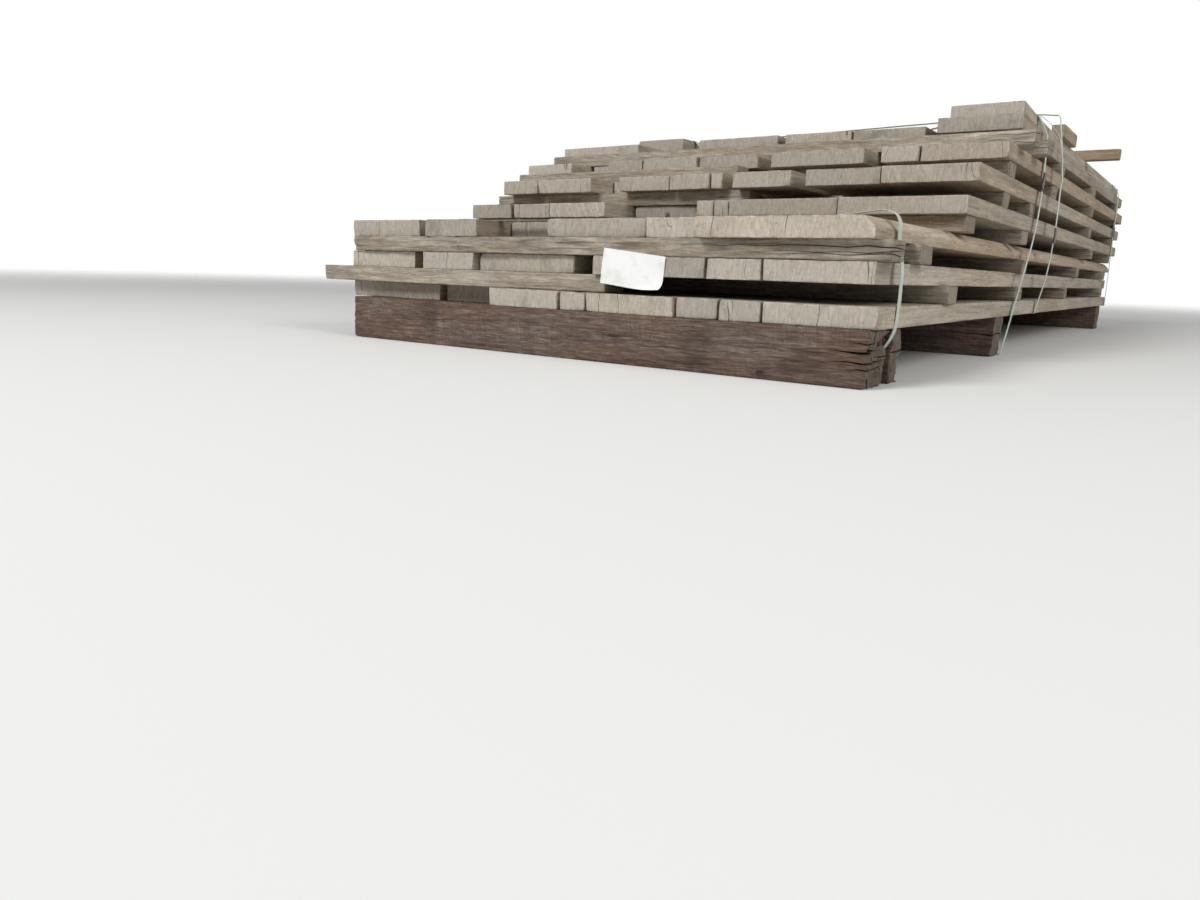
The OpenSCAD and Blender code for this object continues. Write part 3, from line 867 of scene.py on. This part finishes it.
def sticker_row(name, node, seed):
    """A row of stickers. The front one of the second row is more cracked, dented and bleached."""
    timbers = []
    for i, (low, high) in enumerate(solids_of(node)):
        rng = np.random.default_rng(seed * 91 + i)
        worn_row = node == "stickers_2" and i == 0
        cracks = []
        for far in (False, True):
            places = rng.permutation([0.009, 0.016, 0.023, 0.030])
            for place in places[: 4 if worn_row else rng.integers(0, 3)]:
                run = rng.uniform(0.05, 0.3) * (1.5 if worn_row else 1)
                half = rng.uniform(0.0003, 0.0009)
                cracks.append(Crack(True, place, far, run, half, 0.02, rng.integers(1 << 30)))
        spacing, slack = (0.03, 0.02, 0.009), (0.004, 0.0)
        timber = Timber(low, high, False, seed * 1000 + i, spacing, 0.0022, cracks, slack, 0.02)
        dents = 1 + ripple(timber.flat * (1, 0, 1.5), seed * 77 + i, 0.07)
        at_front = np.clip(1 - timber.flat[:, 1] / 0.02, 0, 1)
        timber.points[:, 1] += at_front * (0.0045 if worn_row else 0.0012) * dents
        if worn_row:
            from_right = timber.from_end(True)
            bleached = np.exp(-((from_right - 0.05) / 0.05) ** 2)
            bleached += 0.6 * ripple(timber.flat * (1, 0, 4), 9, 0.09)
            timber.tone = np.clip(0.12 + 0.6 * bleached * (from_right < 0.6), 0, 1)
        timbers.append(timber)
    join_timbers(name, node, "sticker_wood", timbers, stick_face, stick_end)


for number in range(1, 7):
    sticker_row(f"sticker_row_{number}", f"stickers_{number}", 20 + number)


# Bearers

# Cracks of the front bearer's two timbers, the front timber with its split right end first, and
# of the two rear bearers
FRONT_CRACKS = (
    (
        Crack(True, 0.066, True, 0.075, 0.0034, 0.05, 11),
        Crack(True, 0.0565, True, 0.04, 0.0013, 0.03, 18),
        Crack(True, 0.048, True, 0.07, 0.0022, 0.03, 12),
        Crack(True, 0.035, True, 0.05, 0.0012, 0.03, 13),
        Crack(True, 0.083, True, 0.045, 0.001, 0.03, 19),
        Crack(False, 0.03, True, 0.16, 0.0016, 0.03, 14),
        Crack(False, 0.058, True, 0.11, 0.0022, 0.03, 15),
        Crack(False, 0.082, True, 0.14, 0.0013, 0.03, 16),
        Crack(False, 0.044, False, 0.1, 0.0012, 0.03, 17),
    ),
    (
        Crack(False, 0.021, True, 0.2, 0.0016, 0.03, 5),
        Crack(True, 0.06, True, 0.15, 0.0018, 0.03, 6),
    ),
)
REAR_CRACKS = [
    (
        Crack(False, 0.035 + 0.012 * i, True, 0.18, 0.0018, 0.03, 31 + i),
        Crack(False, 0.078, True, 0.11, 0.0014, 0.03, 33 + i),
        Crack(True, 0.06, True, 0.13, 0.0016, 0.03, 35 + i),
        Crack(False, 0.055, False, 0.15, 0.0015, 0.03, 37 + i),
    )
    for i in (0, 1)
]


def bearer_timbers(name, node, seed, cracks, face, torn_depth):
    """Bearers with torn ends, the right ones torn to a given depth."""
    timbers = []
    for i, (low, high) in enumerate(solids_of(node)):
        spacing, slack = (0.02, 0.014, 0.012), (0.002, 0.0)
        timber = Timber(low, high, False, seed * 1000 + i, spacing, 0.0035, cracks[i], slack)
        timber.tone, timber.warmth = 0.5, 0.45
        torn = 1 + ripple(timber.flat * (0, 0.5, 1.3), seed * 7 + i, 0.024)
        torn += 0.5 * (1 + ripple(timber.flat * (0, 1, 1), seed * 7 + i + 50, 0.011))
        for far, deep in ((True, -torn_depth), (False, 0.002)):
            at_end = np.clip(1 - timber.from_end(far) / 0.05, 0, 1) ** 1.5
            timber.points[:, 0] += deep * torn * at_end
        if face == front_bearer_face:
            timber.place = timber.flat + (0.0, 40.0 * i, 0.0)
        timbers.append(timber)
    join_timbers(name, node, "bearer_wood", timbers, face, bearer_end)


bearer_timbers("front_bearer_pair", "bearer_front", 41, FRONT_CRACKS, front_bearer_face, 0.0065)
bearer_timbers("rear_bearer_timbers", "bearers_rear", 42, REAR_CRACKS, bearer_face, 0.0022)


# The narrow board and the loose batten on top


def lone_timber(name, node, seed, run_y):
    low, high = solids_of(node)[0]
    spacing, slack = (0.03, 0.014, 0.0085), (0.002, 0.0012)
    timber = Timber(low, high, run_y, seed, spacing, 0.0018, (), slack)
    timber.warmth = 0.8
    join_timbers(name, node, "batten_wood", [timber], batten_face, stick_end)


lone_timber("narrow_top_board", "top_narrow", 61, True)
lone_timber("loose_top_batten", "loose_batten", 62, False)


# Straps


def rounded_path(turns):
    """A closed path through corners (x, y, z, radius), each turned in a small arc."""
    turn_steps, spacing = 6, 0.05
    corners = [np.array(turn[:3], float) for turn in turns]
    arcs = []
    for i, corner in enumerate(corners):
        back, on = corners[i - 1] - corner, corners[(i + 1) % len(corners)] - corner
        reach = min(turns[i][3], np.linalg.norm(back) * 0.45, np.linalg.norm(on) * 0.45)
        start = corner + back / np.linalg.norm(back) * reach
        end = corner + on / np.linalg.norm(on) * reach
        steps = np.linspace(0, 1, turn_steps + 1)[:, None]
        arcs.append((1 - steps) ** 2 * start + 2 * steps * (1 - steps) * corner + steps**2 * end)
    path = []
    for i, arc in enumerate(arcs):
        path.extend(arc)
        gap = arcs[(i + 1) % len(arcs)][0] - arc[-1]
        pieces = max(1, int(np.linalg.norm(gap) / spacing))
        path.extend(arc[-1] + gap * k / pieces for k in range(1, pieces))
    return np.array(path)


def band_mesh(path, closed, seed):
    """Points, quads and surface places of a flat band along a path in the upright plane."""
    way = np.roll(path, -1, 0) - np.roll(path, 1, 0)
    if not closed:
        way[0], way[-1] = path[1] - path[0], path[-1] - path[-2]
    out = np.stack([-way[:, 2], np.zeros(len(way)), way[:, 0]], 1)
    out /= np.linalg.norm(out, axis=1)[:, None]
    middle = np.array([0.0, path[:, 1].mean(), 0.35])
    if ((path - middle) * out).sum() < 0:
        out = -out
    run = np.concatenate([[0], np.cumsum(np.linalg.norm(np.diff(path, axis=0), axis=1))])
    half, corner = STRAP_W / 2, 0.0004
    lower = [(-half, 0.3), (-half + corner, 0.0), (-half * 0.4, 0.0)]
    lower += [(half * 0.4, 0.0), (half - corner, 0.0), (half, 0.3)]
    ring = lower + [(across, 1 - rise) for across, rise in reversed(lower)]
    sway = 0.0006 * ripple(path, seed, 0.4)
    points, places, level = [], [], np.ones(len(run))
    for across, rise in ring:
        shift = out * (STRAP_T * rise)
        shift[:, 1] += across + sway
        points.append(path + shift)
        places.append(np.stack([run, across * level, rise * 0.001 * level], 1))
    points = np.stack(points, 1).reshape(-1, 3)
    places = np.stack(places, 1).reshape(-1, 3)
    number = np.arange(len(points)).reshape(len(path), len(ring))
    next_row = np.roll(number, -1, 0)
    quads = np.stack([number, np.roll(number, -1, 1), np.roll(next_row, -1, 1), next_row], -1)
    quads = quads if closed else quads[:-1]
    return points, quads.reshape(-1, 4), places


def strap_piece(name, node, y, turns, seed, tail=None):
    """A flat band round the pack: its width lies along the pack, its outer side faces away.

    The turns say how far behind y they lie.
    """
    path = rounded_path([(x, y + back, z, radius) for x, back, z, radius in turns])
    bands = [band_mesh(path, True, seed)]
    if tail is not None:
        bands.append(band_mesh(tail, False, seed + 9))
    mesh = joined([band[:2] for band in bands])
    facts = {"grain_place": np.concatenate([band[2] for band in bands])}
    make_piece(name, node, "strap_plastic", *mesh, [strap_band], facts, smooth_angle=50)


# Heights of a strap on the top course and on the boards on it, and the sides that straps go round
LOW_Z = TOP_Z + STRAP_CLEAR
OVER_Z = LOW_Z + BOARD_T
UNDER_Z, COURSE_3_TOP = COURSE_Z[0] - STRAP_CLEAR, COURSE_Z[2] + BOARD_T + STRAP_CLEAR
OUT_LEFT, OUT_LOW_LEFT, OUT_RIGHT = LEFT - STRAP_CLEAR, LOW_LEFT - STRAP_CLEAR, RIGHT + STRAP_CLEAR
CORNER_LEFT = LEFT - 2 * STRAP_CLEAR
TOP_LEFT_X = [LEFT + 0.1299 * PACK_W, LEFT + 0.254 * PACK_W]
TOP_RIGHT_X = [LEFT + 0.857 * PACK_W, LEFT + 0.983 * PACK_W]
SHARP = 0.003
GROOVE_Z = 0.0021
SECOND_BACK, REAR_BACK = 0.0762 * PACK_L, -0.018 * PACK_L

# Each strap's corners: x, how far behind the strap's own y, z, and the radius it turns them with
front_y = FRONT + 0.104 + 0.0135
front_turns = (
    (OUT_LOW_LEFT, 0, UNDER_Z, SHARP),
    (0.46, 0, UNDER_Z, 0.1),
    (0.752, -0.002, 0.057, 0.02),
    (0.7755, -0.001, 0.099, 0.02),
    (OUT_RIGHT, 0, COURSE_Z[0] + BOARD_T, 0.03),
    (0.7765, 0.001, 0.222, 0.03),
    (0.766, 0, 0.2655, 0.02),
    (0.7662, 0, 0.2975, 0.008),
    (0.7585, 0, 0.3125, 0.01),
    (0.737, 0, 0.3205, 0.014),
    (0.655, 0, 0.3105, 0.03),
    (0.54, 0, COURSE_3_TOP, 0.05),
    (LOW_LEFT, 0, COURSE_3_TOP, SHARP),
    (OUT_LOW_LEFT, 0, COURSE_Z[1], SHARP),
)
strap_piece("front_strap_band", "strap_front", front_y, front_turns, 71)

second_y = FRONT + 0.271 * PACK_L + 0.73 * 0.110 + STRAP_W / 2
second_turns = (
    (OUT_LOW_LEFT, 0, GROOVE_Z, SHARP),
    (OUT_RIGHT, 0, GROOVE_Z, SHARP),
    (RIGHT + 0.004, 0.075, 0.12, 0.05),
    (RIGHT + 0.009, 0.225, 0.33, 0.08),
    (RIGHT + 0.006, SECOND_BACK, 0.47, 0.05),
    (OUT_RIGHT, SECOND_BACK, TOP_Z - 0.004, 0.005),
    (TOP_RIGHT_X[1], SECOND_BACK - 0.012, OVER_Z + 0.0085, 0.004),
    (TOP_RIGHT_X[0], SECOND_BACK - 0.014, OVER_Z + 0.0085, 0.004),
    (TOP_RIGHT_X[0] - 6 * BOARD_T, SECOND_BACK - 0.012, LOW_Z, 0.1),
    (TOP_LEFT_X[1] + BOARD_T, SECOND_BACK, LOW_Z, 0.03),
    (TOP_LEFT_X[1], SECOND_BACK, OVER_Z, SHARP),
    (TOP_LEFT_X[0], SECOND_BACK, OVER_Z, SHARP),
    (CORNER_LEFT, SECOND_BACK, TOP_Z, SHARP),
    (OUT_LEFT, SECOND_BACK, COURSE_Z[5], SHARP),
)
strap_piece("second_strap_band", "strap_second", second_y, second_turns, 72)

# The third strap is slack, and a loose strand hangs from the second strap's corner down to it
third_y = FRONT + 0.4126 * PACK_L + STRAP_W / 2
slack_top = OVER_Z + 0.04
third_turns = (
    (OUT_LOW_LEFT, 0, UNDER_Z, SHARP),
    (OUT_RIGHT, 0, UNDER_Z, SHARP),
    (RIGHT + 0.022, 0, 0.225, 0.05),
    (RIGHT + 0.0292, 0, COURSE_Z[3], 0.08),
    (RIGHT + 0.0275, 0, COURSE_Z[5] + BOARD_T, 0.06),
    (RIGHT + 0.0008, 0, slack_top - 0.008, 0.006),
    (RIGHT - 0.07, 0, slack_top, 0.03),
    (TOP_LEFT_X[1], 0, OVER_Z + 0.016, 0.1),
    (TOP_LEFT_X[0], 0, OVER_Z, SHARP),
    (CORNER_LEFT, 0, TOP_Z, SHARP),
    (OUT_LEFT, 0, COURSE_Z[5], SHARP),
)
strand_turns = np.array(
    [
        (TOP_RIGHT_X[1] + 0.002, second_y + SECOND_BACK - 0.006, OVER_Z + 0.0095),
        (RIGHT - 0.004, second_y + SECOND_BACK + 0.05, OVER_Z - 0.006),
        (RIGHT + 0.012, third_y - 0.035, 0.63),
        (RIGHT + 0.0225, third_y - 0.004, 0.572),
        (RIGHT + 0.0302, third_y, 0.5),
    ]
)
steps = np.linspace(0, 4, 41)
strand = np.stack([np.interp(steps, np.arange(5), strand_turns[:, axis]) for axis in range(3)], 1)
strand[2:-2] = (strand[:-4] + strand[1:-3] + strand[2:-2] + strand[3:-1] + strand[4:]) / 5
strap_piece("third_strap_band", "strap_third", third_y, third_turns, 73, strand)

rear_y = FRONT + 0.922 * PACK_L + STRAP_W / 2
rear_turns = (
    (OUT_LOW_LEFT, 0, UNDER_Z, SHARP),
    (OUT_RIGHT, 0, UNDER_Z, SHARP),
    (OUT_RIGHT, REAR_BACK, TOP_Z, SHARP),
    (TOP_RIGHT_X[1], REAR_BACK, OVER_Z, SHARP),
    (TOP_LEFT_X[0], REAR_BACK, OVER_Z, SHARP),
    (CORNER_LEFT, REAR_BACK, TOP_Z, SHARP),
    (OUT_LEFT, REAR_BACK, COURSE_Z[5], SHARP),
)
strap_piece("rear_strap_band", "strap_rear", rear_y, rear_turns, 74)


# Seals

# Length, width and thickness of a seal, the radius of its edges, and its two nips from one end
SEAL_SIZE, SEAL_EDGE, SEAL_NIPS = np.array([0.046, 0.029, 0.003]), 0.0007, (0.014, 0.032)


def seal_shape(strap_y, back, low_z, high_z, rise, off_side):
    """A steel sleeve folded round a strap, its long sides nipped in twice.

    It sits at a share of the rise of a strap that goes from low_z to high_z and so far back.
    """
    size, edge = SEAL_SIZE, np.array([0, 0.0004, 0.001])
    cuts = [
        cuts_between(size[0], 0.0014, edge),
        cuts_between(size[1], 0.0022, edge),
        cuts_between(size[2], 0.001, edge * 0.6),
    ]
    flat, quads, _ = box_lattice(cuts)
    points = rounded_box(flat, flat, size, SEAL_EDGE)
    for spot in SEAL_NIPS:
        nip = np.exp(-(((flat[:, 0] - spot) / 0.0017) ** 2))
        from_side = np.minimum(flat[:, 1], size[1] - flat[:, 1])
        nip *= np.clip(1 - from_side / 0.007, 0, 1)
        points[:, 1] += np.where(flat[:, 1] < size[1] / 2, 1.0, -1.0) * nip * 0.0034
        points[:, 2] -= nip * 0.0008 * (flat[:, 2] > size[2] / 2)
    run = np.array([0, back, high_z - low_z])
    along = run / np.linalg.norm(run)
    across = np.array([0, along[2], -along[1]])
    middle = np.array([RIGHT + off_side + STRAP_CLEAR, strap_y, low_z]) + rise * run
    local = points - (size[0] / 2, size[1] / 2, 0)
    world = middle + local[:, :1] * along + local[:, 1:2] * across + local[:, 2:] * (1, 0, 0)
    return world, quads, flat


seals = [
    seal_shape(second_y, SECOND_BACK, GROOVE_Z, COURSE_Z[5], 0.97, 0.006),
    seal_shape(third_y, 0.0, COURSE_Z[3], COURSE_Z[4], 0.0, 0.029),
    seal_shape(rear_y, REAR_BACK, COURSE_Z[0], TOP_Z, 0.66, 0.0003),
]
seal_mesh = joined([seal[:2] for seal in seals])
seal_facts = {"grain_place": np.concatenate([seal[2] + i for i, seal in enumerate(seals)])}
make_piece(
    "folded_seals",
    "strap_seals",
    "seal_steel",
    *seal_mesh,
    [seal_steel],
    seal_facts,
    smooth_angle=45,
)


# The bare paper label

LABEL_W, LABEL_H, LABEL_TURN = 0.155, 0.074, math.radians(6)
LABEL_X, LABEL_Y = LEFT + 0.6611 * PACK_W, FRONT + 0.0041 * PACK_L - 0.0005
# The share of the label's height that lies below the edge it is fixed at
LABEL_BELOW = 0.34


def paper_label():
    """A thin sheet that bulges a little, its lower right corner curled forward."""
    columns, rows, thickness, most_out = 49, 25, 0.00025, 0.0138
    a, b = np.meshgrid(np.linspace(-0.5, 0.5, columns), np.linspace(0, 1, rows), indexing="ij")
    bulge = 0.0016 * (1 - b) * (1 + np.sin(a * 7 + 1.2)) + 0.0008 * (1 + np.sin(b * 6 + a * 4))
    corner = np.clip((a + 0.5) - b * 1.5 - 0.52, 0, None)
    out = np.minimum(bulge + corner * 0.008 + corner**2 * 0.02, most_out)
    across = a * LABEL_W - corner**2 * 0.012
    up = (b - LABEL_BELOW) * LABEL_H + corner**2 * 0.03
    x = LABEL_X + across * math.cos(LABEL_TURN) + up * math.sin(LABEL_TURN)
    z = COURSE_Z[1] - across * math.sin(LABEL_TURN) + up * math.cos(LABEL_TURN)
    sheets = [np.stack([x, LABEL_Y - out + back, z], -1) for back in (0.0, thickness)]
    number = np.arange(columns * rows).reshape(columns, rows)
    front = grid_quads(number)
    loop = np.concatenate([number[:-1, 0], number[-1, :-1], number[:0:-1, -1], number[0, :0:-1]])
    after, behind = np.roll(loop, -1), columns * rows
    rim = np.stack([after, loop, loop + behind, after + behind], 1)
    quads = np.concatenate([front, front[:, ::-1] + behind, rim])
    place = np.stack([a * LABEL_W, b * LABEL_H, np.zeros_like(a)], -1).reshape(-1, 3)
    facts = {"grain_place": np.concatenate([place, place + 0.3])}
    points = np.concatenate(sheets).reshape(-1, 3)
    make_piece(
        "paper_label", "label", "label_paper", points, quads, [bare_paper], facts, smooth_angle=60
    )


paper_label()


# Camera, floor, light and background


def add_object(name, data):
    made = bpy.data.objects.new(name, data)
    bpy.context.scene.collection.objects.link(made)
    return made


def add_camera():
    data = bpy.data.cameras.new("photo_view")
    data.sensor_fit = "HORIZONTAL"
    data.sensor_width = SENSOR_W
    data.lens = FOCAL_PIXELS / IMAGE_W * SENSOR_W
    data.clip_end = 200
    camera = add_object("photo_view", data)
    camera.matrix_world = Matrix.Translation(CAMERA_PLACE) @ CAMERA_TURN.to_4x4()
    bpy.context.scene.camera = camera


def add_floor():
    """A pale floor that fades into the background far from the pack."""
    material, tree, shader = new_material("pale_floor")
    look = {"Base Color": tint(FLOOR_COLOUR), "Roughness": 0.9, "Specular IOR Level": 0.1}
    feed(tree, shader, look)
    reach = length_of(tree, put(tree, "NewGeometry").outputs["Position"])
    clear = put(tree, "BsdfTransparent").outputs[0]
    feeds = {0: step_up(tree, reach, 3.5, 11.0), 1: shader.outputs[0], 2: clear}
    faded = put(tree, "MixShader", feeds).outputs[0]
    feed(tree, tree.nodes["Material Output"], {"Surface": faded})
    mesh = bpy.data.meshes.new("studio_floor")
    mesh.from_pydata([(-14, -14, 0), (14, -14, 0), (14, 14, 0), (-14, 14, 0)], [], [(0, 1, 2, 3)])
    mesh.materials.append(material)
    floor = add_object("studio_floor", mesh)
    floor.location.z = -0.0005


def add_lamp(name, place, aim, width, power):
    data = bpy.data.lights.new(name, "AREA")
    data.shape = "DISK"
    data.size = width
    data.energy = power
    lamp = add_object(name, data)
    lamp.location = place
    lamp.rotation_mode = "QUATERNION"
    lamp.rotation_quaternion = (Vector(aim) - Vector(place)).to_track_quat("-Z", "Y")


def add_world():
    """White where it is seen, and a weaker white light on the pack."""
    world = bpy.data.worlds.new("studio_world")
    bpy.context.scene.world = world
    world.use_nodes = True
    tree = world.node_tree
    tree.nodes.clear()
    path = put(tree, "LightPath").outputs
    seen = maths(tree, "MAXIMUM", path["Is Camera Ray"], path["Is Glossy Ray"])
    white = (1.0, 1.0, 1.0, 1.0)
    lit = put(tree, "Background", {"Color": white, "Strength": 0.33}).outputs[0]
    shown = put(tree, "Background", {"Color": white, "Strength": 1.0}).outputs[0]
    both = put(tree, "MixShader", {0: seen, 1: lit, 2: shown}).outputs[0]
    put(tree, "OutputWorld", {"Surface": both})


add_camera()
add_floor()
add_world()
add_lamp("key_light", (-1.2, -6.4, 5.0), (0, 0.2, 0.3), 3.0, 385)
add_lamp("side_light", (6.0, -1.5, 4.0), (0.3, 0.8, 0.3), 4.0, 180)
bpy.context.scene.view_settings.view_transform = "Standard"
